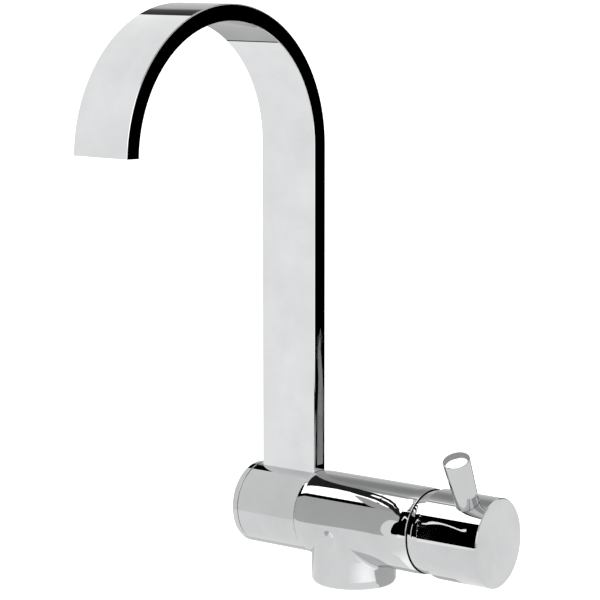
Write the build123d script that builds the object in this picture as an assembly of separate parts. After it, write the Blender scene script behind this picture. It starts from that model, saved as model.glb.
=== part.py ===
from build123d import *
import math
import os

# Three way filtered water tap: a horizontal barrel cast on a round pedestal, a flat
# arched spout that folds about the barrel's left end, and a lever cap on its right end.
# Millimetres. The origin is the centre of the pedestal's underside, +Z is up, +X runs
# along the barrel to the lever, and the user stands on the -Y side.

# Casting
pedestal_step = 0.2  # pedestal's radius under the barrel's
pedestal_height = 11.0  # worktop to the barrel's underside
pedestal_edge_round = 3.0
blend_radius = 2.5
barrel_left_reach = 0.8  # barrel's left end beyond the pedestal
barrel_right_reach = 27.0  # barrel's right end beyond the pedestal
barrel_wall = 2.65  # metal left round the cartridge nut's thread
edge_round = 0.4
polish_reach = 5.0  # along the barrel from each end, where polishing wears it down
polish_depth = 0.45  # worn off at the very end
barrel_edge_round = 0.25

# Underside of the pedestal
stud_radius = 3.4  # wall of an M8 thread
stud_depth = 11.0
inlet_radius = 4.46  # wall of an M10x1 thread
inlet_depth = 12.0
inlet_web = 1.64  # metal between the stud and each inlet
inlet_first_angle = 60.0  # from the lever's side
base_seal_width = 2.2
base_seal_height = 1.8
base_seal_inset = 0.4  # flat metal between the seal and the rounded edge

# Water ways
port_radius = 2.0
port_circle = 7.5
port_first_angle = 90.0  # from the user's far side, round towards the top

# Clearances
running_gap = 0.08  # shaft in its bore
thread_gap = 0.05
ring_gap = 0.03  # rubber and bearing rings in their grooves
ring_round_share = 0.25  # a pressed rubber ring's corner radius, of its width
seam_gap = 0.3

# Spout joint
sleeve_step = 0.7  # sleeve's radius under the barrel's
sleeve_wall = 5.4
sleeve_shoulder = 2.7  # sleeve's length beyond the spout's width
sleeve_edge_round = 0.2
journal_thread_wall = 2.5  # metal round the water ways in the journal's thread
journal_thread_length = 12.0
gallery_width = 4.6
gallery_depth = 2.2
land_width = 0.9  # metal between two grooves
o_ring_width = 2.4
o_ring_depth = 1.7
glide_ring_width = 2.2
glide_ring_depth = 0.9
washer_thickness = 1.4
washer_overlap = 1.9  # how far the washer covers the sleeve's inner step
thrust_gap = 0.1
screw_radius = 3.0
screw_length = 9.0
screw_head_radius = 5.2
screw_head_height = 2.4
screw_head_round = 0.8
screw_head_gap = 0.7
screw_key_radius = 2.0
screw_key_depth = 1.6

# End cap
end_cap_thickness = 3.3
end_cap_groove_depth = 0.7
end_cap_rim_width = 2.0
end_cap_rim_gap = 0.7

# Spout tube
spout_width = 34.0
spout_thickness = 8.2
spout_wall = 1.2
spout_edge_round = 0.5
spout_socket_depth = 3.5
riser_height = 183.5  # barrel's axis to the arch's centre
arch_radius = 66.6
arch_angle = 178.4
insert_length = 8.0
insert_recess = 1.0
insert_gap = 0.1
insert_columns = 4  # flow channels across each water way
insert_rows = 2
insert_rib = 0.9

# Cartridge, from its middle outwards
disc_land = 0.55  # moving disc's edge beyond its ports
disc_side_gap = 0.65
neck_wall = 1.1
neck_step = 1.9  # from the cartridge's neck out to its body
cartridge_gap = 0.1
nut_thread_step = 0.95  # from the cartridge bore out to the nut's thread
turret_step = 1.8

# Cartridge, along the barrel
cartridge_depth = 22.0
nut_depth = 7.0
nut_floor_gap = 0.3
base_gap = 0.3
cartridge_base_thickness = 4.7
peg_radius = 1.2
peg_length = 1.8
seal_height = 1.6
seal_width = 1.2
disc_thickness = 3.5
disc_film = 0.05
disc_pocket_length = 12.0
disc_pocket_width = 4.8
disc_pocket_depth = 1.8
carrier_thickness = 6.0
ball_radius = 2.8
ball_gap = 0.15
ball_drop = 1.2  # ball's centre below the carrier's top
ball_arm = 9.0  # ball's centre to the pivot
tilt_limit = 25.0  # degrees
turret_gap = 0.3
turret_flange = 3.6
turret_reach = 4.5  # turret's end beyond the pivot
turret_slot_length = 15.0
turret_o_ring_width = 1.4
turret_o_ring_depth = 1.1
neck_reach = 3.0  # housing's end beyond the pivot
pivot_radius = 2.0
pivot_gap = 0.05
pivot_end_gap = 0.6
eye_wall = 2.6
arm_radius = 2.2
stem_size = 8.0
stem_chamfer = 0.6
stem_side_gap = 0.3
stem_gap = 0.05

# Cartridge nut and cover ring
nut_reach = 5.0  # beyond the barrel's end
nut_shoulder = 0.9
spanner_slots = 4
spanner_slot_width = 3.0
spanner_slot_depth = 2.0
shadow_gap = 0.65
shadow_depth = 1.1
ring_wall = 2.0
ring_reach = 10.0  # ring's end beyond the pivot
ring_lip = 1.4
ring_lip_height = 4.3

# Lever cap, drawn with the lever pin upright and then leant towards the user
cap_overhang = 0.55  # cap's radius over the barrel's
cap_wall = 1.0
cap_gap = 0.3
cap_rim_offset = 4.5  # middle of the cap's slanted rim beyond the pivot
cap_rim_slant = 6.8  # degrees
cap_rim_round = 0.35
cap_floor_gap = 0.4
cap_reach = 35.95  # middle of the cap's end face beyond the pivot
cap_face_slant = 6.0  # degrees, the end face stands further out on the user's side
cap_end_wall = 8.35  # metal between the stem and the middle of the end face
cap_face_chamfer = 0.5
lever_lean = 26.3  # degrees, towards the user
lever_side_lean = 2.9  # degrees, towards the cap's end face
lever_inset = 11.4  # lever pin's foot to the middle of the cap's end face
lever_length = 25.45  # from the cap's surface
lever_root_radius = 5.7
lever_tip_radius = 6.65
lever_tip_round = 0.35
lever_seat_depth = 0.7
lever_seat_gap = 0.2
lever_stud_radius = 3.0
lever_stud_length = 9.5
grub_radius = 2.5
grub_length = 6.0
grub_key_radius = 1.4
grub_key_depth = 2.5

# Radii, worked out from the water ways outwards
disc_travel = ball_arm * math.sin(math.radians(tilt_limit))
moving_disc_radius = port_circle + port_radius + disc_land
chamber_radius = moving_disc_radius + disc_travel + disc_side_gap
neck_radius = chamber_radius + neck_wall
cartridge_radius = neck_radius + neck_step
bore_radius = cartridge_radius + cartridge_gap
nut_thread = bore_radius + nut_thread_step
nut_outer = nut_thread - nut_shoulder
barrel_radius = nut_thread + barrel_wall
turret_radius = chamber_radius - running_gap
turret_neck_bore = chamber_radius - turret_step
turret_neck = turret_neck_bore - running_gap
journal_thread_radius = port_circle + port_radius + journal_thread_wall
sleeve_radius = barrel_radius - sleeve_step
sleeve_bore = sleeve_radius - sleeve_wall
journal_radius = sleeve_bore - running_gap
washer_radius = sleeve_bore + washer_overlap
end_bore = washer_radius + seam_gap
cap_radius = barrel_radius + cap_overhang
cap_bore = cap_radius - cap_wall
dome_radius = cap_bore - cap_gap
pedestal_radius = barrel_radius - pedestal_step
inlet_circle = stud_radius + inlet_web + inlet_radius

# Heights
axis_height = pedestal_height + barrel_radius
arch_height = axis_height + riser_height
socket_floor = sleeve_radius - spout_socket_depth
lever_seat = cap_radius - lever_seat_depth

# Places along the barrel
barrel_left = -pedestal_radius - barrel_left_reach
barrel_right = pedestal_radius + barrel_right_reach
sleeve_right = barrel_left - seam_gap
sleeve_left = sleeve_right - spout_width - sleeve_shoulder
journal_end = sleeve_left + washer_thickness + screw_head_height + screw_head_gap
thread_end = barrel_left + journal_thread_length
spout_middle = sleeve_right - spout_width / 2
bore_floor = barrel_right - cartridge_depth
nut_start = barrel_right - nut_depth
base_start = bore_floor + base_gap
disc_start = base_start + cartridge_base_thickness
moving_start = disc_start + disc_thickness + disc_film
carrier_start = moving_start + disc_thickness
carrier_end = carrier_start + carrier_thickness
ball_centre = carrier_end - ball_drop
pivot = ball_centre + ball_arm
turret_start = carrier_end + turret_gap
turret_step_end = turret_start + turret_flange
cap_end = pivot + cap_reach
stem_end = cap_end - cap_end_wall
lever_place = cap_end - lever_inset

# The spout tube's section and the angles that the insert takes up along the arch
way_width = (spout_width - 3 * spout_wall) / 2
way_thickness = spout_thickness - 2 * spout_wall
insert_angle = math.degrees(insert_length / arch_radius)
insert_recess_angle = math.degrees(insert_recess / arch_radius)


# Rods and blocks lie along the barrel, posts stand upright
def rod(radius, start, end):
    return Pos(start, 0, 0) * Rot(0, 90, 0) * post(radius, 0, end - start)


def post(radius, start, end):
    return Pos(0, 0, (start + end) / 2) * Cylinder(radius, end - start)


def block(start, end, width, height):
    return Pos((start + end) / 2, 0, 0) * Box(end - start, width, height)


def hoop(outer, inner, start, end):
    return rod(outer, start, end) - rod(inner, start, end)


def drilling(radius, start, end):
    way = Vector(*end) - Vector(*start)
    return Plane(origin=start, z_dir=way) * post(radius, 0, way.length)


def pivot_rod(radius, length):
    return Pos(pivot, 0, 0) * Rot(90, 0, 0) * Cylinder(radius, length)


def on_axis(shape):
    return Pos(0, 0, axis_height) * shape


def with_lever(shape):
    return on_axis(Rot(lever_lean, 0, 0) * shape)


# The pin leans about the middle of its seat
def at_lever(shape):
    lean = Rot(0, lever_side_lean, 0) * Pos(0, 0, -lever_seat)
    return Pos(lever_place, 0, lever_seat) * lean * shape


def around(radius, first_angle, names):
    places = {}
    for step, name in enumerate(names):
        angle = math.radians(first_angle + 360 * step / len(names))
        places[name] = (radius * math.cos(angle), radius * math.sin(angle))
    return places


# The ports' places in the barrel's cross section, (y, z)
def port_places():
    names = ("mixed_out", "filtered_out", "cold_in", "filtered_in", "hot_in")
    return around(port_circle, port_first_angle, names)


def inlet_places():
    return around(inlet_circle, inlet_first_angle, ("hot_in", "filtered_in", "cold_in"))


# The barrel's ends fall away in a large arc, and then in a small rounded edge
def polished_barrel():
    left, right = barrel_left + polish_reach, barrel_right - polish_reach
    end_radius = barrel_radius - polish_depth
    top = Line((left, barrel_radius), (right, barrel_radius))
    left_arc = TangentArc((left, barrel_radius), (barrel_left, end_radius), tangent=(-1, 0))
    right_arc = TangentArc((right, barrel_radius), (barrel_right, end_radius), tangent=(1, 0))
    ends = Polyline((barrel_left, end_radius), (barrel_left, 0), (barrel_right, 0), (barrel_right, end_radius))
    barrel = revolve(Plane.XZ * make_face([top, left_arc, right_arc, ends]), Axis.X)
    return fillet(barrel.faces().filter_by(GeomType.PLANE).edges(), barrel_edge_round)


def tap_body():
    casting = on_axis(polished_barrel()) + post(pedestal_radius, 0, axis_height)
    wall = casting.faces().filter_by(GeomType.CYLINDER).sort_by(Axis.Z)[0]
    crease = [edge for edge in wall.edges() if edge.geom_type not in (GeomType.CIRCLE, GeomType.LINE)]
    casting = fillet(crease, blend_radius)
    foot = casting.edges().filter_by(GeomType.CIRCLE).sort_by(Axis.Z)[0]
    casting = fillet(foot, pedestal_edge_round)

    casting -= on_axis(rod(bore_radius, bore_floor, barrel_right))
    casting -= on_axis(rod(nut_thread, nut_start - nut_floor_gap, barrel_right))
    casting -= on_axis(rod(journal_thread_radius, barrel_left, thread_end))
    casting -= on_axis(peg_pair(peg_radius + thread_gap, bore_floor - peg_length, bore_floor))
    casting -= post(stud_radius, 0, stud_depth)
    casting -= base_seal_ring()

    ports = port_places()
    for name, (x, y) in inlet_places().items():
        port_y, port_z = ports[name]
        casting -= Pos(x, y, 0) * post(inlet_radius, 0, inlet_depth)
        casting -= drilling(port_radius, (x, y, inlet_depth), (bore_floor, port_y, axis_height + port_z))
    for name in ("mixed_out", "filtered_out"):
        casting -= on_axis(Pos(0, *ports[name]) * rod(port_radius, barrel_left, bore_floor))
    return casting


def base_seal_ring():
    outer = pedestal_radius - pedestal_edge_round - base_seal_inset
    inner = outer - base_seal_width
    return post(outer, 0, base_seal_height) - post(inner, 0, base_seal_height)


def peg_pair(radius, start, end):
    reach = cartridge_radius - 2 * peg_radius
    return Pos(0, reach, 0) * rod(radius, start, end) + Pos(0, -reach, 0) * rod(radius, start, end)


# Rings and galleries take turns along the journal: a glide ring at each end, three rubber
# rings, and a water gallery midway between each two of them
def glide_ring_places():
    inset = land_width + glide_ring_width / 2
    return [sleeve_right - inset, journal_end + inset]


def o_ring_places():
    right, left = glide_ring_places()
    step = glide_ring_width / 2 + land_width + o_ring_width / 2
    return [right - step, (right + left) / 2, left + step]


def gallery_places():
    right, middle, left = o_ring_places()
    return [(right + middle) / 2, (middle + left) / 2]


def groove(middle, width, depth):
    return hoop(journal_radius, journal_radius - depth, middle - width / 2, middle + width / 2)


# Each gallery is fed by its own way along the journal
def spout_journal():
    journal = rod(journal_radius, journal_end, barrel_left)
    journal += rod(journal_thread_radius - thread_gap, barrel_left, thread_end)
    for middle in gallery_places():
        journal -= groove(middle, gallery_width, gallery_depth)
    for middle in o_ring_places():
        journal -= groove(middle, o_ring_width, o_ring_depth)
    for middle in glide_ring_places():
        journal -= groove(middle, glide_ring_width, glide_ring_depth)
    ports = port_places()
    for name, middle in zip(("mixed_out", "filtered_out"), gallery_places()):
        y, z = ports[name]
        outward = journal_radius / port_circle
        journal -= Pos(0, y, z) * rod(port_radius, middle, thread_end)
        journal -= drilling(port_radius, (middle, y, z), (middle, y * outward, z * outward))
    return on_axis(journal - rod(screw_radius, journal_end, journal_end + screw_length))


def journal_o_rings():
    floor = journal_radius - o_ring_depth
    return [round_ring(middle, o_ring_width, floor, sleeve_bore) for middle in o_ring_places()]


# A ring of rubber, pressed to a flat sided oval between its groove and the bore
def round_ring(middle, width, inner, outer):
    half = width / 2 - ring_gap
    ring = hoop(outer - ring_gap, inner + ring_gap, middle - half, middle + half)
    return on_axis(fillet(ring.edges().filter_by(GeomType.CIRCLE), width * ring_round_share))


def bearing_ring(middle):
    half = glide_ring_width / 2 - ring_gap
    inner = journal_radius - glide_ring_depth + ring_gap
    return on_axis(hoop(sleeve_bore - ring_gap, inner, middle - half, middle + half))


def glide_rings():
    return [bearing_ring(middle) for middle in glide_ring_places()]


def journal_washer():
    start = journal_end - washer_thickness
    return on_axis(hoop(washer_radius, screw_radius + thread_gap, start, journal_end))


def journal_screw():
    seat = journal_end - washer_thickness
    screw = rod(screw_head_radius, seat - screw_head_height, seat)
    screw = fillet(screw.edges().filter_by(GeomType.CIRCLE).sort_by(Axis.X)[0], screw_head_round)
    screw += rod(screw_radius - thread_gap, seat, journal_end + screw_length)
    socket = Rot(0, 90, 0) * extrude(RegularPolygon(screw_key_radius, 6), screw_key_depth)
    return on_axis(screw - Pos(seat - screw_head_height, 0, 0) * socket)


def spout_sleeve():
    sleeve = rod(sleeve_radius, sleeve_left, sleeve_right)
    sleeve = fillet(sleeve.edges().filter_by(GeomType.CIRCLE), sleeve_edge_round)
    sleeve -= rod(sleeve_bore, sleeve_left, sleeve_right)
    sleeve -= rod(end_bore, sleeve_left, journal_end + thrust_gap)
    socket = block(sleeve_right - spout_width, sleeve_right, spout_thickness, 2 * spout_socket_depth)
    sleeve -= Pos(0, 0, sleeve_radius) * socket
    for middle in gallery_places():
        sleeve -= drilling(port_radius, (middle, 0, 0), (middle, 0, socket_floor))
    return on_axis(sleeve)


def end_cap():
    rim_end = journal_end - washer_thickness - end_cap_rim_gap
    disc = rod(sleeve_radius, sleeve_left - seam_gap - end_cap_thickness, sleeve_left - seam_gap)
    disc = fillet(disc.edges().filter_by(GeomType.CIRCLE), edge_round)
    disc += rod(sleeve_radius - end_cap_groove_depth, sleeve_left - seam_gap, sleeve_left)
    rim_radius = end_bore - thread_gap
    disc += hoop(rim_radius, rim_radius - end_cap_rim_width, sleeve_left, rim_end)
    return on_axis(disc)


# The flat tube's cross section: two water ways side by side, one for mixed and one for
# filtered water, each way a hole in the section
def spout_section():
    return RectangleRounded(spout_width, spout_thickness, spout_edge_round)


def way_pair():
    step = (way_width + spout_wall) / 2
    return [Pos(side * step, 0) * Rectangle(way_width, way_thickness) for side in (-1, 1)]


def along_spout(section):
    riser_foot = axis_height + socket_floor
    riser = extrude(Pos(spout_middle, 0, riser_foot) * section, arch_height - riser_foot)
    return riser + along_arch(section, 0, arch_angle)


def along_arch(section, start, end):
    centre = Axis((0, -arch_radius, arch_height), (1, 0, 0))
    swept = revolve(Pos(spout_middle, 0, arch_height) * section, centre, end - start)
    return swept.rotate(centre, start)


def spout_tube():
    tube = along_spout(spout_section())
    for way in way_pair():
        tube -= along_spout(way)
    mouth = Rectangle(spout_width - 2 * spout_wall, way_thickness)
    return tube - along_arch(mouth, arch_angle - insert_recess_angle - insert_angle, arch_angle)


# Flow straightener: rows of straight channels over each water way
def outlet_insert():
    width = spout_width - 2 * spout_wall - 2 * insert_gap
    depth = way_thickness - 2 * insert_gap
    section = Rectangle(width, depth)
    pitch_x = (way_width - insert_rib) / insert_columns
    pitch_y = (depth - insert_rib) / insert_rows
    channels = GridLocations(pitch_x, pitch_y, insert_columns, insert_rows)
    for side in (-1, 1):
        middle = Pos(side * (way_width + spout_wall) / 2, 0)
        for place in channels:
            section -= middle * place * Rectangle(pitch_x - insert_rib, pitch_y - insert_rib)
    end = arch_angle - insert_recess_angle
    return along_arch(section, end - insert_angle, end)


def ports_through(start, end, radius):
    return [Pos(0, y, z) * rod(radius, start, end) for y, z in port_places().values()]


def cartridge_base():
    foot = rod(cartridge_radius, base_start, disc_start)
    for port in ports_through(base_start, disc_start, port_radius):
        foot -= port
    for pocket in ports_through(base_start, bore_floor + seal_height, port_radius + seal_width + ring_gap):
        foot -= pocket
    return on_axis(foot + peg_pair(peg_radius, bore_floor - peg_length, base_start))


def port_seals():
    rings = []
    for y, z in port_places().values():
        ring = hoop(port_radius + seal_width, port_radius, bore_floor, bore_floor + seal_height)
        rings.append(on_axis(Pos(0, y, z) * ring))
    return rings


def fixed_disc():
    disc = rod(chamber_radius - thread_gap, disc_start, disc_start + disc_thickness)
    for port in ports_through(disc_start, disc_start + disc_thickness, port_radius):
        disc -= port
    return on_axis(disc)


# The moving disc's pocket joins the ports that it covers
def moving_disc():
    disc = rod(moving_disc_radius, moving_start, carrier_start)
    face = Plane(origin=(moving_start, 0, 0), x_dir=(0, 1, 0), z_dir=(1, 0, 0))
    pocket = extrude(face * SlotOverall(disc_pocket_length, disc_pocket_width), disc_pocket_depth)
    return with_lever(disc - pocket)


def disc_carrier():
    carrier = rod(moving_disc_radius, carrier_start, carrier_end)
    reach = ball_radius + ball_gap
    return with_lever(carrier - block(ball_centre - reach, carrier_end, 2 * reach, 2 * reach))


def cartridge_housing():
    end = pivot + neck_reach
    housing = rod(cartridge_radius, disc_start, nut_start) + rod(neck_radius, nut_start, end)
    housing -= rod(chamber_radius, disc_start, turret_step_end + running_gap)
    housing -= rod(turret_neck_bore, turret_step_end, end)
    return on_axis(housing)


def turret():
    end = pivot + turret_reach
    body = rod(turret_radius, turret_start, turret_step_end) + rod(turret_neck, turret_step_end, end)
    body -= block(turret_start, end, stem_size + 2 * stem_side_gap, turret_slot_length)
    body -= pivot_rod(pivot_radius, 2 * turret_neck)
    start = turret_step_end + turret_gap
    body -= hoop(turret_neck, turret_neck - turret_o_ring_depth, start, start + turret_o_ring_width)
    return with_lever(body)


def turret_o_ring():
    middle = turret_step_end + turret_gap + turret_o_ring_width / 2
    return round_ring(middle, turret_o_ring_width, turret_neck - turret_o_ring_depth, turret_neck_bore)


def pivot_pin():
    return with_lever(pivot_rod(pivot_radius, 2 * (turret_neck - pivot_end_gap)))


def spindle():
    stem = block(pivot, stem_end, stem_size, stem_size)
    stem = chamfer(stem.faces().sort_by(Axis.X)[-1].edges(), stem_chamfer)
    lever = stem + pivot_rod(pivot_radius + eye_wall, stem_size)
    lever += rod(arm_radius, ball_centre, pivot)
    lever += Pos(ball_centre, 0, 0) * Sphere(ball_radius)
    return with_lever(lever - pivot_rod(pivot_radius + pivot_gap, stem_size))


def cartridge_nut():
    end = barrel_right + nut_reach
    nut = rod(nut_thread - thread_gap, nut_start, barrel_right) + rod(nut_outer, barrel_right, end)
    nut -= rod(neck_radius + cartridge_gap, nut_start, end)
    slot = Pos(0, 0, nut_outer / 2) * block(end - spanner_slot_depth, end, spanner_slot_width, nut_outer)
    for step in range(spanner_slots):
        nut -= Rot(360 * step / spanner_slots, 0, 0) * slot
    return on_axis(nut)


# The cover ring is a slice of a ball about the lever's pivot, so the cap's rim can swing
# over it, and it stands off the barrel by a narrow shadow gap
def dome_height(x):
    return math.sqrt(dome_radius**2 - (x - pivot) ** 2)


def cover_ring():
    start = barrel_right + shadow_gap
    end = pivot + ring_reach
    neck = dome_radius - shadow_depth
    thread = nut_outer + thread_gap
    nut_end = barrel_right + nut_reach + thread_gap
    lip = end - ring_lip
    hollow = dome_height(lip) - ring_wall
    back = Polyline((barrel_right, thread), (barrel_right, neck), (start, neck), (start, dome_height(start)))
    crown = ThreePointArc((start, dome_height(start)), (pivot, dome_radius), (end, dome_height(end)))
    mouth = dome_height(end) - ring_lip_height
    front = Polyline((end, dome_height(end)), (end, mouth), (lip, mouth), (lip, hollow))
    inside = Polyline((lip, hollow), (nut_end, hollow), (nut_end, thread), (barrel_right, thread))
    section = Plane.XZ * make_face([back, crown, front, inside])
    return on_axis(revolve(section, Axis.X))


# The hollow is deep enough for the cover ring's edge to swing in
def hollow_floor():
    swing = math.radians(tilt_limit)
    edge = dome_height(pivot + ring_reach)
    return pivot + ring_reach * math.cos(swing) + edge * math.sin(swing) + cap_floor_gap


def handle_cap():
    lean, slant = math.radians(lever_lean), math.radians(cap_face_slant)
    outwards = (math.cos(slant), math.sin(slant) * math.cos(lean), -math.sin(slant) * math.sin(lean))
    cap = rod(cap_radius, barrel_right, cap_end + 2 * cap_radius * math.tan(slant))
    cap = split(cap, bisect_by=Plane(origin=(cap_end, 0, 0), z_dir=outwards), keep=Keep.BOTTOM)
    cap = chamfer(cap.faces().sort_by(Axis.X)[-1].edges(), cap_face_chamfer)
    slant = math.radians(cap_rim_slant)
    rim = Plane(origin=(pivot + cap_rim_offset, 0, 0), z_dir=(math.cos(slant), 0, math.sin(slant)))
    cap = split(cap, bisect_by=rim, keep=Keep.TOP)
    cap = fillet(cap.faces().sort_by(Axis.X)[0].edges(), cap_rim_round)
    cap -= rod(cap_bore, barrel_right, hollow_floor())
    width = stem_size + 2 * stem_gap
    cap -= block(pivot, stem_end + stem_gap, width, width)

    cap -= at_lever(post(lever_foot_radius() + lever_seat_gap, lever_seat, cap_radius + lever_seat_depth))
    cap -= at_lever(post(lever_stud_radius, lever_seat - lever_stud_length, cap_radius))
    cap -= Pos(lever_place, 0, 0) * post(grub_radius, -cap_radius - grub_length, 0)
    return with_lever(cap)


# The pin's taper runs on from the cap's surface down to its seat
def lever_foot_radius():
    taper = (lever_tip_radius - lever_root_radius) / lever_length
    return lever_root_radius - taper * lever_seat_depth


def lever_pin():
    length = lever_length + lever_seat_depth
    pin = Pos(0, 0, lever_seat + length / 2) * Cone(lever_foot_radius(), lever_tip_radius, length)
    pin = fillet(pin.edges().filter_by(GeomType.CIRCLE).sort_by(Axis.Z)[-1], lever_tip_round)
    pin += post(lever_stud_radius - thread_gap, lever_seat - lever_stud_length, lever_seat)
    return with_lever(at_lever(pin))


def grub_screw():
    top = -stem_size / 2 - thread_gap
    screw = post(grub_radius - thread_gap, top - grub_length, top)
    screw -= Pos(0, 0, top - grub_length) * extrude(RegularPolygon(grub_key_radius, 6), grub_key_depth)
    return with_lever(Pos(lever_place, 0, 0) * screw)


pieces = {
    "tap_body": tap_body,
    "base_seal": base_seal_ring,
    "spout_journal": spout_journal,
    "journal_o_rings": journal_o_rings,
    "glide_rings": glide_rings,
    "journal_washer": journal_washer,
    "journal_screw": journal_screw,
    "spout_sleeve": spout_sleeve,
    "end_cap": end_cap,
    "spout_tube": spout_tube,
    "outlet_insert": outlet_insert,
    "cartridge_base": cartridge_base,
    "port_seals": port_seals,
    "fixed_disc": fixed_disc,
    "moving_disc": moving_disc,
    "disc_carrier": disc_carrier,
    "cartridge_housing": cartridge_housing,
    "turret": turret,
    "turret_o_ring": turret_o_ring,
    "pivot_pin": pivot_pin,
    "spindle": spindle,
    "cartridge_nut": cartridge_nut,
    "cover_ring": cover_ring,
    "handle_cap": handle_cap,
    "lever_pin": lever_pin,
    "grub_screw": grub_screw,
}

os.makedirs("parts", exist_ok=True)
for name, build in pieces.items():
    shape = build()
    if isinstance(shape, list):
        shape = Compound(children=shape)
    export_step(shape, f"parts/{name}.step")
    print(name, round(shape.volume, 1))
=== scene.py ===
import bmesh
import bpy
import math
from mathutils import Matrix, Vector

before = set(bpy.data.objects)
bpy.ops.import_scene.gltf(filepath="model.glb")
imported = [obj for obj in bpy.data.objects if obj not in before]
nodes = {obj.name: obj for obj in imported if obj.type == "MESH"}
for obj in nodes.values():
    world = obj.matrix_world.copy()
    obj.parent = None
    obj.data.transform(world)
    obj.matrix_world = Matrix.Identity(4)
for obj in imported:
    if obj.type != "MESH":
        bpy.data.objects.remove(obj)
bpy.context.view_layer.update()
scene = bpy.context.scene
print("frame loaded with", len(nodes), "nodes")

# The camera stands where the photograph was taken from
camera = dict(
    place=(0.79868, -0.99803, 0.32031),
    direction=(-0.63486, 0.76003, -0.13893),
    lens=158.1,
    sensor=36.0,
    nearest=0.05,
)


def addCamera():
    data = bpy.data.cameras.new("photoCamera")
    data.lens = camera["lens"]
    data.sensor_width = camera["sensor"]
    data.clip_start = camera["nearest"]
    holder = bpy.data.objects.new("photoCamera", data)
    holder.location = camera["place"]
    holder.rotation_euler = Vector(camera["direction"]).to_track_quat("-Z", "Y").to_euler()
    scene.collection.objects.link(holder)
    scene.camera = holder


addCamera()
print("camera placed")

scene.view_settings.view_transform = "Standard"

# A chrome surface shows only what stands round it, so each group of pieces has soft boxes of
# its own. A light shines on the pieces that are listed here under the name in its lit.
litPieces = dict(
    spout=["spout_tube", "outlet_insert"],
    sleeve=["spout_sleeve", "end_cap"],
    body=[
        "tap_body", "handle_cap", "lever_pin", "grub_screw", "spindle", "base_seal",
        "cartridge_nut", "cartridge_housing", "turret",
    ],
    ring=["cover_ring"],
    lever=["handle_cap", "lever_pin"],
    pin=["lever_pin"],
    pedestal=["tap_body"],
)

# Soft boxes are arcs round a line parallel to the barrel. span runs in degrees from the back
# (0) over the top (90) to the user's side (180) and under the worktop. left, right and glow
# may change on the way, in even steps.
bodyLine = (0.0, 0.0322)  # y and height of the barrel's axis
spoutLine = (-0.100, 0.200)  # the same for a line near the middle of the arch
softBoxArcs = dict(  # the line that each group's boxes go round, and how far off they stand
    body=(bodyLine, 0.7),
    ring=(bodyLine, 0.7),
    sleeve=(bodyLine, 0.7),
    spout=(spoutLine, 0.8),
)
softBoxes = [
    dict(name="bodyBack", lit="body", span=(31, 86.5), left=(-1.0,), right=(0.5,), parts=9,
         glow=(0.48, 0.38, 0.33, 0.33, 0.36, 0.60, 1.4)),
    dict(name="bodyTopLeft", lit="body", span=(85.5, 121.3), left=(-0.85,), right=(-0.489,),
         glow=(2.4,), parts=3),
    dict(name="bodyTopMiddle", lit="body", span=(85.5, 130.3), left=(-0.489,), right=(-0.446,),
         glow=(2.4,), parts=3),
    dict(name="bodyTopRight", lit="body", span=(85.5, 126.3), left=(-0.446,), right=(0.5,),
         glow=(2.4,), parts=3),
    dict(name="bodyFront", lit="body", span=(130.3, 206), left=(-1.6,), right=(-0.444,),
         glow=(0.56, 0.60), parts=6),
    dict(name="bodyLow", lit="body", span=(187, 206), left=(-0.444,), right=(0.2,),
         glow=(1.25,), parts=2),
    dict(name="bodyUser", lit="body", span=(130.3, 187), left=(-0.2,), right=(1.4,),
         glow=(0.62, 0.55), parts=5),
    dict(name="ringBack", lit="ring", span=(31, 84), left=(-1.0,), right=(0.5,),
         glow=(0.5, 0.45, 0.8), parts=6),
    dict(name="ringTop", lit="ring", span=(84, 124), left=(-1.0,), right=(0.5,),
         glow=(2.4,), parts=3),
    dict(name="ringLow", lit="ring", span=(186, 206), left=(-1.0,), right=(0.5,),
         glow=(1.1,), parts=2),
    dict(name="sleeveBack", lit="sleeve", span=(31, 45), left=(-2.0,), right=(-0.2,),
         glow=(0.34, 0.33), parts=2),
    dict(name="sleeveBackEdge", lit="sleeve", span=(45, 69), left=(-0.622, -0.615, -0.593),
         right=(-0.2,), glow=(0.33, 0.40), parts=8),
    dict(name="sleeveFront", lit="sleeve", span=(69, 206), left=(-2.0,), right=(-0.2,),
         glow=(0.87,), parts=10),
    dict(name="sleeveUser", lit="sleeve", span=(68, 187), left=(-0.2,), right=(1.4,),
         glow=(0.87, 0.6), parts=8),
    dict(name="spoutTop", lit="spout", span=(50, 130), left=(-2.2,), right=(-0.1,),
         glow=(1.19,), parts=6),
    dict(name="spoutFront", lit="spout", span=(130, 256), left=(-2.2,), right=(0.3,),
         glow=(1.19,), parts=8),
    dict(name="spoutEdge", lit="spout", span=(130, 256), left=(0.3,), right=(4.0,),
         glow=(1.7,), parts=6),
]


def gatherLitPieces():
    sets = {}
    for name, members in litPieces.items():
        sets[name] = bpy.data.collections.new(name + "LitPieces")
        for member in members:
            sets[name].objects.link(nodes[member])
    return sets


def alongSpan(values, share):
    place = share * (len(values) - 1)
    before = min(int(place), max(len(values) - 2, 0))
    after = min(before + 1, len(values) - 1)
    return values[before] + (values[after] - values[before]) * (place - before)


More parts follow.
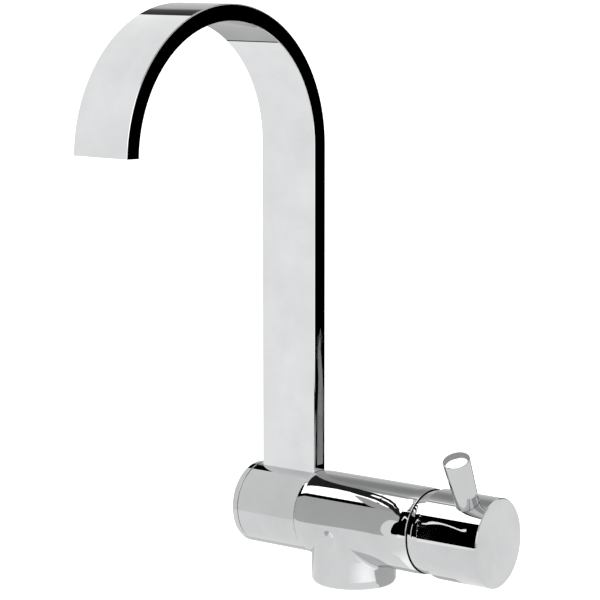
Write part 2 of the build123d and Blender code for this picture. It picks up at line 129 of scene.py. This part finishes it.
def addSoftBox(box, sets):
    line, distance = softBoxArcs[box["lit"]]
    step = math.radians(box["span"][1] - box["span"][0]) / box["parts"]
    for part in range(box["parts"]):
        middle = math.radians(box["span"][0]) + step * (part + 0.5)
        share = (part + 0.5) / box["parts"]
        left, right = alongSpan(box["left"], share), alongSpan(box["right"], share)
        glow = alongSpan(box["glow"], share)
        data = bpy.data.lights.new(box["name"], "AREA")
        data.shape = "RECTANGLE"
        data.size = right - left
        data.size_y = 2 * distance * math.tan(step / 2)
        data.energy = glow * math.pi * data.size * data.size_y  # as bright as a card of this glow
        holder = bpy.data.objects.new(box["name"], data)
        reach = distance * Vector((0, math.cos(middle), math.sin(middle)))
        holder.location = Vector(((left + right) / 2, *line)) + reach
        holder.rotation_euler = (middle + 1.5 * math.pi, 0, 0)  # turned to face the line
        holder.visible_camera = False
        scene.collection.objects.link(holder)
        holder.light_linking.receiver_collection = sets[box["lit"]]


sets = gatherLitPieces()
for box in softBoxes:
    addSoftBox(box, sets)

# Single lights: one level with the worktop, to the right and behind, that the cap's end face and
# the pin mirror, and a small one that the pin's tip mirrors. wide is the direction of the
# light's first size.
spotLights = [
    dict(name="capLight", lit="lever", place=(0.21, 0.22, -0.001), towards=(0, 0, 1),
         wide=(1, 0, 0), size=(0.26, 0.46), shape="RECTANGLE", glow=1.0),
    dict(name="pinTipLight", lit="pin", place=(-0.179, 0.1225, 0.4666),
         towards=(0.525, -0.295, -0.799), wide=(0.744, 0.615, 0.262), size=(0.0145, 0.0060),
         shape="ELLIPSE", glow=2.2),
]
# Narrow lights fanned out on the worktop at the pedestal's foot: span is in degrees round its
# axis, inner and outer are the fan's radii, and glow changes along the span in even steps
footLights = dict(
    span=(-66, -6), inner=0.036, outer=0.078, height=0.0004, parts=36,
    glow=(0.0, 0.03, 0.09, 0.16, 0.25, 0.34, 0.40, 0.42, 0.42, 0.40, 0.32, 0.20),
)


def addSpotLight(light, sets):
    data = bpy.data.lights.new(light["name"], "AREA")
    data.shape = light["shape"]
    data.size, data.size_y = light["size"]
    area = data.size * data.size_y * (math.pi / 4 if data.shape == "ELLIPSE" else 1)
    data.energy = light["glow"] * math.pi * area
    holder = bpy.data.objects.new(light["name"], data)
    holder.location = light["place"]
    back, wide = -Vector(light["towards"]).normalized(), Vector(light["wide"]).normalized()
    holder.rotation_euler = Matrix((wide, back.cross(wide), back)).transposed().to_euler()
    holder.visible_camera = False
    scene.collection.objects.link(holder)
    holder.light_linking.receiver_collection = sets[light["lit"]]


def addFootLights(sets):
    length = footLights["outer"] - footLights["inner"]
    middle = footLights["inner"] + length / 2
    first, last = [math.radians(angle) for angle in footLights["span"]]
    step = (last - first) / footLights["parts"]
    for part in range(footLights["parts"]):
        turn = first + step * (part + 0.5)
        ray = Vector((math.cos(turn), math.sin(turn), 0))
        light = dict(
            name="footLight", lit="pedestal", shape="RECTANGLE", towards=(0, 0, 1), wide=ray,
            place=(middle * ray.x, middle * ray.y, footLights["height"]),
            size=(length, 2 * middle * math.tan(step / 2)),
            glow=alongSpan(footLights["glow"], (part + 0.5) / footLights["parts"]),
        )
        addSpotLight(light, sets)


for light in spotLights:
    addSpotLight(light, sets)
addFootLights(sets)

# Cards that only reflections see. Those with a height lie level, as the worktop does.
# Those with an x stand beside the riser, where they make the dark band along the barrel. Those
# with a mirror hang where the camera sees them in a cylinder of that radius: rows give degrees
# from its top, left and right, columns give x and two angles, with x in millimetres.
cards = [
    dict(name="worktopCard", height=-0.0001, glow=1.0, corners=[
        (-0.235, -0.095), (-0.095, -0.097), (-0.078, -0.103), (-0.068, -0.122),
        (-0.055, -0.1225), (-0.049, -0.1185), (-0.043, -0.1225), (-0.036, -0.132),
        (-0.026, -0.150), (-0.016, -0.2), (-0.01, -0.5), (0.45, -0.5), (0.45, 0.27),
        (0.25, 0.27), (0.06, 0.083), (-0.235, 0.083)]),
    dict(name="worktopShadeCard", height=-0.00008, glow=0.73, corners=[
        (-0.2, -0.004), (0.018, -0.004), (0.018, 0.083), (-0.2, 0.083)]),
    dict(name="pedestalShadeCard", height=-0.00006, glow=0.58, corners=[
        (0.018, -0.004), (0.060, -0.004), (0.060, 0.040), (0.018, 0.040)]),
    dict(name="worktopLeftCard", height=-0.0001, glow=1.19, corners=[
        (-2.2, -0.132), (-0.236, -0.132), (-0.236, 0.083), (-2.2, 0.083)]),
    dict(name="worktopEdgeCard", height=-0.0001, glow=0.05, corners=[
        (-2.2, 0.083), (-0.236, 0.083), (-0.236, 0.092), (-2.2, 0.092)]),
    dict(name="riserStreakCard", height=-0.0001, glow=0.30, corners=[
        (0.1518, 0.2093), (0.1613, 0.2208), (0.2913, 0.3785), (0.4377, 0.5580),
        (0.5033, 0.6405), (0.4377, 0.5610), (0.2913, 0.3845), (0.1613, 0.2262),
        (0.1518, 0.2146)]),
    dict(name="flagTop", x=-0.0221, glow=0.02, corners=[
        (-0.0042, 0.0546), (-0.0042, 0.0653), (-0.0038, 0.0780), (-0.0035, 0.0910),
        (-0.0055, 0.1046), (-0.0121, 0.1154), (-0.0236, 0.1223), (-0.0380, 0.1242),
        (-0.0590, 0.1195), (-0.0765, 0.1090), (-0.0901, 0.0977), (-0.1010, 0.0876),
        (-0.1038, 0.0808), (-0.0903, 0.0940), (-0.0744, 0.1072), (-0.0595, 0.1161),
        (-0.0420, 0.1203), (-0.0291, 0.1186), (-0.0194, 0.1135), (-0.0150, 0.1071),
        (-0.0178, 0.1049), (-0.0249, 0.1119), (-0.0331, 0.1168), (-0.0451, 0.1189),
        (-0.0607, 0.1158), (-0.0759, 0.1082), (-0.0850, 0.1000), (-0.0813, 0.1000),
        (-0.0671, 0.1076), (-0.0523, 0.1110), (-0.0417, 0.1103), (-0.0320, 0.1068),
        (-0.0265, 0.1010), (-0.0243, 0.0975), (-0.0173, 0.0870), (-0.0150, 0.0768),
        (-0.0147, 0.0637), (-0.0147, 0.0544), (-0.0145, 0.0508)]),
    dict(name="flagGrey", x=-0.0222, glow=0.5, corners=[
        (-0.0240, 0.0900), (-0.0335, 0.0912), (-0.0432, 0.0918), (-0.0536, 0.0927),
        (-0.0613, 0.0953), (-0.0691, 0.1016), (-0.0759, 0.1082), (-0.0673, 0.1109),
        (-0.0589, 0.1100), (-0.0491, 0.1079), (-0.0395, 0.1051), (-0.0314, 0.1011),
        (-0.0263, 0.0956)]),
    dict(name="barrelBlackCard", mirror=0.0212036, away=0.10, glow=0.0, rows=[
        (57, 45.9, 48.6), (62, 46.1, 48.6), (65.5, 45.6, 48.6), (67, 44.6, 48.6), (69, 43.0, 48.6),
        (72, 41.1, 48.6), (76, 40.2, 48.6), (80, 39.6, 48.6), (86.5, 39.9, 48.6)]),
    dict(name="barrelBlobCard", mirror=0.0212036, away=0.105, glow=1.03, rows=[
        (68.5, 38.5, 41.5), (69.5, 37.0, 43.5), (71, 35.9, 43), (73, 35.0, 42),
        (76, 33.9, 41.5), (80, 33.2, 41), (84, 33.1, 41), (86.4, 33.6, 41),
        (86.5, 33.6, 48.6), (89.5, 34.9, 48.6), (91.5, 36.4, 48.6), (93.3, 38.5, 48.6)]),
    dict(name="capStreakCard", mirror=0.0217536, away=0.10, glow=1.3, columns=[
        (57.0, 65.8, 67.0), (59.5, 64.6, 66.6), (61.0, 62.3, 65.8), (63.0, 61.2, 64.6),
        (66.0, 61.0, 63.6), (69.0, 61.4, 63.2), (72.0, 62.2, 63.8), (75.0, 63.2, 64.8),
        (78.0, 64.6, 66.0), (80.0, 65.2, 67.0), (81.0, 64.4, 67.4), (82.6, 63.6, 67.0),
        (83.2, 64.2, 66.2)]),
]
cardLook = dict(join=0.000001, roughness=0.9)  # corners nearer than join are one
floorLook = dict(half=60.0, drop=0.00005, whiteness=0.9, lift=0.75)  # lift is its own glow


# Where a ray from the camera ends, turned back by the barrel at x and degrees from its top
def mirrored(card, x, degrees):
    turn = math.radians(degrees)
    normal = Vector((0, -math.sin(turn), math.cos(turn)))
    place = Vector((x / 1000, *bodyLine)) + card["mirror"] * normal
    ray = (place - Vector(camera["place"])).normalized()
    return place + card["away"] * ray.reflect(normal)


# The faces of a card, each a list of corners
def cardFaces(card):
    if "x" in card:
        return [[(card["x"], y, z) for y, z in card["corners"]]]
    if "height" in card:
        return [[(x, y, card["height"]) for x, y in card["corners"]]]
    if "rows" in card:
        edges = [[mirrored(card, left, angle), mirrored(card, right, angle)]
                 for angle, left, right in card["rows"]]
    else:
        edges = [[mirrored(card, x, low), mirrored(card, x, high)]
                 for x, low, high in card["columns"]]
    return [[first[0], first[1], second[1], second[0]] for first, second in zip(edges, edges[1:])]


def makeCard(name, faces):
    made = bmesh.new()
    for corners in faces:
        made.faces.new([made.verts.new(corner) for corner in corners])
    bmesh.ops.remove_doubles(made, verts=made.verts, dist=cardLook["join"])
    mesh = bpy.data.meshes.new(name)
    made.to_mesh(mesh)
    made.free()
    holder = bpy.data.objects.new(name, mesh)
    scene.collection.objects.link(holder)
    return holder


def cardPaint(name, colour, glow):
    paint = bpy.data.materials.new(name)
    paint.use_nodes = True
    shader = paint.node_tree.nodes["Principled BSDF"]
    shader.inputs["Base Color"].default_value = (colour, colour, colour, 1)
    shader.inputs["Roughness"].default_value = cardLook["roughness"]
    shader.inputs["Specular IOR Level"].default_value = 0.0
    shader.inputs["Emission Color"].default_value = (1, 1, 1, 1)
    shader.inputs["Emission Strength"].default_value = glow
    return paint


def addCards():
    half, under = floorLook["half"], -floorLook["drop"]
    ends = [(-half, -half), (half, -half), (half, half), (-half, half)]
    floor = makeCard("floor", [[(x, y, under) for x, y in ends]])
    floor.visible_glossy = False
    paint = cardPaint("floorPaint", floorLook["whiteness"], floorLook["lift"])
    floor.data.materials.append(paint)
    for card in cards:
        holder = makeCard(card["name"], cardFaces(card))
        holder.visible_camera = False
        holder.visible_diffuse = False
        holder.visible_shadow = False
        holder.data.materials.append(cardPaint(card["name"] + "Paint", 0.0, card["glow"]))


# A node with its sockets, or else its settings, given by name
def newNode(tree, kind, **values):
    node = tree.nodes.new(kind)
    for name, value in values.items():
        if name in node.inputs:
            node.inputs[name].default_value = value
        else:
            setattr(node, name, value)
    return node


# stops are places from 0 to 1 and their colours
def colourRamp(tree, stops):
    ramp = newNode(tree, "ShaderNodeValToRGB")
    first, last = ramp.color_ramp.elements
    first.position, last.position = stops[0][0], stops[-1][0]
    first.color, last.color = stops[0][1], stops[-1][1]
    for position, colour in stops[1:-1]:
        ramp.color_ramp.elements.new(position).color = colour
    return ramp


def grey(level):
    return (level, level, level, 1)


# How bright the room is for reflections, by the height of the ray, behind the tap and to its
# right. A fade starts from nothing at the first value of the ray along an axis and is full at
# the second. seen is how bright the room is for all other rays.
room = dict(
    back=[(-1.0, 0.60), (-0.3, 0.60), (-0.15, 0.62), (-0.05, 0.68), (0.05, 0.68), (0.2, 0.66),
          (0.38, 0.56), (0.43, 0.10), (0.53, 0.04), (0.6, 0.0)],
    backFades=[("X", 0.1, -0.4), ("Y", -0.05, 0.1)],
    right=[(-0.2, 0.0), (0.02, 0.0), (0.10, 0.66), (0.97, 0.66), (1.0, 0.5)],
    rightFades=[("X", -0.1, 0.3)],
    seen=1.05,
)


def addRoom():
    world = bpy.data.worlds.new("studio")
    scene.world = world
    world.use_nodes = True
    tree = world.node_tree
    tree.nodes.clear()
    link = tree.links.new
    place = newNode(tree, "ShaderNodeTexCoord")
    split = newNode(tree, "ShaderNodeSeparateXYZ")
    link(place.outputs["Generated"], split.inputs[0])
    height = newNode(tree, "ShaderNodeMapRange", **{"From Min": -1.0, "From Max": 1.0})
    link(split.outputs["Z"], height.inputs["Value"])

    def zone(stops, fades):
        ramp = colourRamp(tree, [((z + 1) / 2, grey(level)) for z, level in stops])
        link(height.outputs[0], ramp.inputs[0])
        level = ramp.outputs[0]
        for axis, dark, light in fades:
            side = newNode(tree, "ShaderNodeMapRange", **{"From Min": dark, "From Max": light})
            link(split.outputs[axis], side.inputs["Value"])
            scaled = newNode(tree, "ShaderNodeVectorMath", operation="SCALE")
            link(level, scaled.inputs[0])
            link(side.outputs[0], scaled.inputs["Scale"])
            level = scaled.outputs[0]
        return level

    back = zone(room["back"], room["backFades"])
    right = zone(room["right"], room["rightFades"])
    both = newNode(tree, "ShaderNodeVectorMath", operation="ADD")
    link(back, both.inputs[0])
    link(right, both.inputs[1])
    rays = newNode(tree, "ShaderNodeLightPath")
    seen = newNode(tree, "ShaderNodeBackground", Color=grey(1), Strength=room["seen"])
    reflected = newNode(tree, "ShaderNodeBackground", Strength=1.0)
    link(both.outputs[0], reflected.inputs["Color"])
    mix = newNode(tree, "ShaderNodeMixShader")
    link(rays.outputs["Is Glossy Ray"], mix.inputs[0])
    link(seen.outputs[0], mix.inputs[1])
    link(reflected.outputs[0], mix.inputs[2])
    out = newNode(tree, "ShaderNodeOutputWorld")
    link(mix.outputs[0], out.inputs[0])


addCards()
addRoom()
print("studio built")

# Numbers and sockets can both be given to maths and noise, tuples and sockets to the others
def maths(tree, operation, *values):
    node = newNode(tree, "ShaderNodeMath", operation=operation)
    for place, value in enumerate(values):
        if isinstance(value, (int, float)):
            node.inputs[place].default_value = value
        else:
            tree.links.new(value, node.inputs[place])
    return node.outputs[0]


def vectorMaths(tree, operation, first, second, result=0):
    node = newNode(tree, "ShaderNodeVectorMath", operation=operation)
    tree.links.new(first, node.inputs[0])
    if isinstance(second, tuple):
        node.inputs[1].default_value = second
    elif second is not None:
        tree.links.new(second, node.inputs[1])
    return node.outputs[result]


def mapped(tree, value, start, end, low=0.0, high=1.0):
    node = newNode(tree, "ShaderNodeMapRange", **{
        "From Min": start, "From Max": end, "To Min": low, "To Max": high})
    tree.links.new(value, node.inputs["Value"])
    return node.outputs[0]


def mixedColour(tree, factor, first, second):
    node = newNode(tree, "ShaderNodeMix", data_type="RGBA")
    tree.links.new(factor, node.inputs[0])
    for place, colour in ((6, first), (7, second)):  # A and B of a mix of colours
        if isinstance(colour, tuple):
            node.inputs[place].default_value = colour
        else:
            tree.links.new(colour, node.inputs[place])
    return node.outputs[2]


def noise(tree, vector, scale, detail=2.0, roughness=0.5):
    node = newNode(tree, "ShaderNodeTexNoise", Detail=detail, Roughness=roughness)
    tree.links.new(vector, node.inputs["Vector"])
    if isinstance(scale, (int, float)):
        node.inputs["Scale"].default_value = scale
    else:
        tree.links.new(scale, node.inputs["Scale"])
    return node.outputs[0]


def startGroup(name, numbers, vectors=(), outputs=("Height", "Mask")):
    tree = bpy.data.node_groups.new(name, "ShaderNodeTree")
    for label in ("Vector",) + tuple(vectors):
        tree.interface.new_socket(name=label, in_out="INPUT", socket_type="NodeSocketVector")
    for label, value in numbers.items():
        socket = tree.interface.new_socket(
            name=label, in_out="INPUT", socket_type="NodeSocketFloat")
        socket.default_value = value
    for label in outputs:
        tree.interface.new_socket(name=label, in_out="OUTPUT", socket_type="NodeSocketFloat")
    return tree, newNode(tree, "NodeGroupInput").outputs, newNode(tree, "NodeGroupOutput").inputs


# Slow waves left by the polishing wheel, fine lines along its path, and a film from hands
polishShape = dict(drawnOut=(1.0, 0.12, 0.12), filmRange=(0.50, 0.74), cloudShare=0.7)


def buildPolish():
    tree, given, result = startGroup(
        "polishMarks",
        {"Wave Scale": 26.0, "Wave Height": 0.00004, "Line Scale": 900.0, "Line Height": 0.0000004,
         "Film Scale": 55.0},
        outputs=("Height", "Mask", "Cloud"))
    slow = noise(tree, given["Vector"], given["Wave Scale"], detail=1.0)
    wave = maths(tree, "MULTIPLY", slow, given["Wave Height"])
    drawn = vectorMaths(tree, "MULTIPLY", given["Vector"], polishShape["drawnOut"])
    fine = noise(tree, drawn, given["Line Scale"], detail=3.0)
    line = maths(tree, "MULTIPLY", fine, given["Line Height"])
    tree.links.new(maths(tree, "ADD", wave, line), result["Height"])
    film = noise(tree, given["Vector"], given["Film Scale"], detail=5.0, roughness=0.62)
    tree.links.new(mapped(tree, film, *polishShape["filmRange"]), result["Mask"])
    wide = maths(tree, "MULTIPLY", given["Film Scale"], polishShape["cloudShare"])
    cloud = noise(tree, given["Vector"], wide, detail=4.0, roughness=0.6)
    tree.links.new(cloud, result["Cloud"])
    return tree


# Rings that a lathe tool leaves, about a line along X through Centre, with no even pitch
turnedShape = dict(detail=3.0, roughness=0.6, ringRange=(0.35, 0.7))


def buildTurned():
    tree, given, result = startGroup(
        "turnedMarks", {"Ring Scale": 2400.0, "Ring Height": 0.000004}, vectors=("Centre",))
    reach = vectorMaths(tree, "SUBTRACT", given["Vector"], given["Centre"])
    sideways = vectorMaths(tree, "MULTIPLY", reach, (0.0, 1.0, 1.0))
    radius = vectorMaths(tree, "LENGTH", sideways, None, result=1)
    split = newNode(tree, "ShaderNodeSeparateXYZ")
    tree.links.new(reach, split.inputs[0])
    along = maths(tree, "ADD", split.outputs[0], radius)
    ring = newNode(tree, "ShaderNodeTexNoise", noise_dimensions="1D",
                   Detail=turnedShape["detail"], Roughness=turnedShape["roughness"])
    tree.links.new(along, ring.inputs["W"])
    tree.links.new(given["Ring Scale"], ring.inputs["Scale"])
    raised = maths(tree, "MULTIPLY", ring.outputs[0], given["Ring Height"])
    tree.links.new(raised, result["Height"])
    tree.links.new(mapped(tree, ring.outputs[0], *turnedShape["ringRange"]), result["Mask"])
    return tree


# Fine grain of a moulded, sintered or ground surface, with a broad cloud over it
grainShape = dict(grainRange=(0.42, 0.68), cloudRange=(0.30, 0.72))


def buildGrain():
    tree, given, result = startGroup(
        "surfaceGrain", {"Grain Scale": 2500.0, "Grain Height": 0.000003, "Cloud Scale": 90.0},
        outputs=("Height", "Mask", "Cloud"))
    grain = noise(tree, given["Vector"], given["Grain Scale"], detail=4.0, roughness=0.65)
    tree.links.new(maths(tree, "MULTIPLY", grain, given["Grain Height"]), result["Height"])
    tree.links.new(mapped(tree, grain, *grainShape["grainRange"]), result["Mask"])
    cloud = noise(tree, given["Vector"], given["Cloud Scale"], detail=4.0, roughness=0.6)
    tree.links.new(mapped(tree, cloud, *grainShape["cloudRange"]), result["Cloud"])
    return tree


# 1 inside a bore: nearer to Centre than Radius, with Weights choosing the axes that count, and
# not further than Reach in the direction Along
def buildBore():
    tree, given, result = startGroup(
        "rawBore", {"Radius": 0.018, "Reach": 1.0}, vectors=("Centre", "Weights", "Along"),
        outputs=("Mask",))
    reach = vectorMaths(tree, "SUBTRACT", given["Vector"], given["Centre"])
    weighted = vectorMaths(tree, "MULTIPLY", reach, given["Weights"])
    across = vectorMaths(tree, "LENGTH", weighted, None, result=1)
    inside = maths(tree, "LESS_THAN", across, given["Radius"])
    far = vectorMaths(tree, "DOT_PRODUCT", given["Vector"], given["Along"], result=1)
    near = maths(tree, "LESS_THAN", far, given["Reach"])
    tree.links.new(maths(tree, "MULTIPLY", inside, near), result["Mask"])
    return tree


effects = dict(polish=buildPolish(), turned=buildTurned(), grain=buildGrain(), bore=buildBore())


def placeEffect(tree, effect, vector, **values):
    node = newNode(tree, "ShaderNodeGroup", node_tree=effects[effect])
    tree.links.new(vector, node.inputs["Vector"])
    for label, value in values.items():
        node.inputs[label.replace("_", " ")].default_value = value
    return node.outputs


print("effects built")


def startFinish(name, metallic, **constants):
    paint = bpy.data.materials.new(name)
    paint.use_nodes = True
    tree = paint.node_tree
    shader = tree.nodes["Principled BSDF"]
    shader.inputs["Metallic"].default_value = metallic
    for label, value in constants.items():
        shader.inputs[label.replace("_", " ")].default_value = value
    return paint, tree, shader, newNode(tree, "ShaderNodeTexCoord").outputs["Object"]


def connect(tree, shader, colour, roughness, height):
    bump = newNode(tree, "ShaderNodeBump", Strength=1.0, Distance=1.0)
    tree.links.new(height, bump.inputs["Height"])
    tree.links.new(colour, shader.inputs["Base Color"])
    tree.links.new(roughness, shader.inputs["Roughness"])
    tree.links.new(bump.outputs[0], shader.inputs["Normal"])


def wear(paint, *names):
    for name in names:
        nodes[name].data.materials.clear()
        nodes[name].data.materials.append(paint)


barrelAxis = (0.0, 0.0, 0.0322036)
pedestalAxis = (0.0, 0.0, 0.0)
cartridgePivot = (0.0518536, 0.0, 0.0322036)
acrossBarrel, acrossPedestal, allRound = (0.0, 1.0, 1.0), (1.0, 1.0, 0.0), (1.0, 1.0, 1.0)
toLeft, toRight, upwards = (-1.0, 0.0, 0.0), (1.0, 0.0, 0.0), (0.0, 0.0, 1.0)
whole = ((0.0, 0.0, 0.0), 1.0)  # a bore with no end
chromeLook = dict(
    colour=(0.60, 0.605, 0.61), spread=0.15, roughness=0.008, film=0.05,
    waveScale=26.0, waveHeight=0.00003, lineScale=900.0, lineHeight=0.0000003, filmScale=55.0,
)
brassLook = dict(
    colour=(0.78, 0.56, 0.27), tarnish=(0.46, 0.31, 0.14), roughness=(0.20, 0.38),
    ringScale=2200.0, ringHeight=0.000005, cloudScale=70.0,
)
# Where each plated piece is bare brass inside: centre, axes that count, radius, direction in
# which the bore ends, and where on it
bareBores = dict(
    tap_body=[(barrelAxis, acrossBarrel, 0.0188, *whole),
              (pedestalAxis, acrossPedestal, 0.0183, upwards, 0.012)],
    spout_sleeve=[(barrelAxis, acrossBarrel, 0.0175, *whole)],
    end_cap=[(barrelAxis, acrossBarrel, 0.0174, toLeft, 0.0588)],
    cover_ring=[(cartridgePivot, allRound, 0.0188, *whole)],
    handle_cap=[(barrelAxis, acrossBarrel, 0.0209, toRight, 0.082)],
    spout_tube=[],
    lever_pin=[],
)
# Seams between parts, painted near black as painted shade in their gaps, given in the same way
seamShadeZones = dict(
    tap_body=[(barrelAxis, acrossBarrel, 0.0211, toLeft, -0.04795),
              (barrelAxis, acrossBarrel, 0.0210, toRight, -0.02175)],
    end_cap=[(barrelAxis, acrossBarrel, 0.0203, toLeft, 0.0593)],
)
# Colour and roughness of the painted shade in the seams
seamShadeLook = dict(colour=(0.012, 0.011, 0.010), roughness=0.55)


def tinted(colour, share=1.0):
    return tuple(min(part * share, 1.0) for part in colour) + (1.0,)


def brassParts(tree, vector):
    rings = placeEffect(tree, "turned", vector, Centre=barrelAxis,
                        Ring_Scale=brassLook["ringScale"], Ring_Height=brassLook["ringHeight"])
    cloud = placeEffect(tree, "grain", vector, Cloud_Scale=brassLook["cloudScale"])["Cloud"]
    colour = mixedColour(tree, cloud, tinted(brassLook["colour"]), tinted(brassLook["tarnish"]))
    roughness = mapped(tree, rings["Mask"], 0.0, 1.0, *brassLook["roughness"])
    return colour, roughness, rings["Height"]


def zoneMask(tree, vector, zones):
    covered = 0.0
    for centre, weights, radius, along, reach in zones:
        mask = placeEffect(tree, "bore", vector, Centre=centre, Weights=weights, Along=along,
                           Radius=radius, Reach=reach)["Mask"]
        covered = maths(tree, "MAXIMUM", mask, covered)
    return covered


def platedFinish(name, bores, seams):
    paint, tree, shader, vector = startFinish(name, 1.0)
    marks = placeEffect(
        tree, "polish", vector,
        Wave_Scale=chromeLook["waveScale"], Wave_Height=chromeLook["waveHeight"],
        Line_Scale=chromeLook["lineScale"], Line_Height=chromeLook["lineHeight"],
        Film_Scale=chromeLook["filmScale"])
    low = tinted(chromeLook["colour"], 1.0 - chromeLook["spread"])
    high = tinted(chromeLook["colour"], 1.0 + chromeLook["spread"])
    colour = mixedColour(tree, marks["Cloud"], low, high)
    clean = chromeLook["roughness"]
    roughness = mapped(tree, marks["Mask"], 0.0, 1.0, clean, clean + chromeLook["film"])
    height = marks["Height"]
    if bores:
        bare = zoneMask(tree, vector, bores)
        brassColour, brassRoughness, brassHeight = brassParts(tree, vector)
        colour = mixedColour(tree, bare, colour, brassColour)
        plated = maths(tree, "SUBTRACT", 1.0, bare)
        roughness = maths(tree, "ADD", maths(tree, "MULTIPLY", roughness, plated),
                          maths(tree, "MULTIPLY", brassRoughness, bare))
        height = maths(tree, "ADD", maths(tree, "MULTIPLY", height, plated),
                       maths(tree, "MULTIPLY", brassHeight, bare))
    # Painted shade: the seams are turned near black where shade falls in the gaps between parts
    if seams:
        seamShade = zoneMask(tree, vector, seams)
        colour = mixedColour(tree, seamShade, colour, tinted(seamShadeLook["colour"]))
        dull = maths(tree, "MULTIPLY", seamShade, seamShadeLook["roughness"])
        roughness = maths(tree, "MAXIMUM", roughness, dull)
    connect(tree, shader, colour, roughness, height)
    return paint


for name, bores in bareBores.items():
    wear(platedFinish(name + "Chrome", bores, seamShadeZones.get(name, [])), name)


def brassFinish():
    paint, tree, shader, vector = startFinish("turnedBrass", 1.0)
    connect(tree, shader, *brassParts(tree, vector))
    return paint


wear(brassFinish(), "spout_journal", "spindle", "cartridge_nut")

steelLook = dict(
    colour=(0.50, 0.495, 0.48), dull=(0.36, 0.355, 0.345), roughness=(0.18, 0.34),
    ringScale=3000.0, ringHeight=0.000003, cloudScale=160.0,
)


def steelFinish():
    paint, tree, shader, vector = startFinish("stainlessSteel", 1.0)
    rings = placeEffect(tree, "turned", vector, Centre=barrelAxis,
                        Ring_Scale=steelLook["ringScale"], Ring_Height=steelLook["ringHeight"])
    cloud = placeEffect(tree, "grain", vector, Cloud_Scale=steelLook["cloudScale"])["Cloud"]
    colour = mixedColour(tree, cloud, tinted(steelLook["colour"]), tinted(steelLook["dull"]))
    roughness = mapped(tree, rings["Mask"], 0.0, 1.0, *steelLook["roughness"])
    connect(tree, shader, colour, roughness, rings["Height"])
    return paint


wear(steelFinish(), "journal_washer", "journal_screw", "pivot_pin", "grub_screw")

# Finishes with no metal: colour and the colour that clouds and grain turn it to, roughness from
# low to high, grain size and depth
mouldedLooks = dict(
    blackRubber=dict(
        colour=(0.018, 0.018, 0.019), cloud=(0.045, 0.044, 0.042), roughness=(0.48, 0.72),
        grain=(3200.0, 0.000006), cloudScale=120.0, level=0.4,
        on=["base_seal", "journal_o_rings", "port_seals", "turret_o_ring"],
    ),
    lappedCeramic=dict(
        colour=(0.86, 0.85, 0.81), cloud=(0.78, 0.77, 0.74), roughness=(0.08, 0.22),
        grain=(5200.0, 0.000001), cloudScale=140.0, level=0.6, on=["fixed_disc", "moving_disc"],
    ),
    whitePlastic=dict(
        colour=(0.77, 0.76, 0.72), cloud=(0.68, 0.67, 0.63), roughness=(0.28, 0.45),
        grain=(2600.0, 0.000003), cloudScale=80.0, level=0.5, on=["disc_carrier", "glide_rings"],
    ),
    greyPlastic=dict(
        colour=(0.24, 0.25, 0.26), cloud=(0.19, 0.20, 0.21), roughness=(0.30, 0.50),
        grain=(2300.0, 0.000005), cloudScale=70.0, level=0.5, on=["cartridge_housing", "turret"],
    ),
    paleGreyPlastic=dict(
        colour=(0.52, 0.53, 0.53), cloud=(0.44, 0.45, 0.45), roughness=(0.32, 0.52),
        grain=(2100.0, 0.000005), cloudScale=70.0, level=0.5, on=["cartridge_base"],
    ),
    darkPlastic=dict(
        colour=(0.050, 0.051, 0.054), cloud=(0.034, 0.035, 0.037), roughness=(0.26, 0.46),
        grain=(2700.0, 0.000004), cloudScale=100.0, level=0.5, on=["outlet_insert"],
    ),
)


def mouldedFinish(name, look):
    paint, tree, shader, vector = startFinish(name, 0.0, Specular_IOR_Level=look["level"])
    grainScale, grainHeight = look["grain"]
    marks = placeEffect(tree, "grain", vector, Grain_Scale=grainScale, Grain_Height=grainHeight,
                        Cloud_Scale=look["cloudScale"])
    colour = mixedColour(tree, marks["Cloud"], tinted(look["colour"]), tinted(look["cloud"]))
    roughness = mapped(tree, marks["Mask"], 0.0, 1.0, *look["roughness"])
    connect(tree, shader, colour, roughness, marks["Height"])
    return paint


for name, look in mouldedLooks.items():
    wear(mouldedFinish(name, look), *look["on"])
print("finishes set")
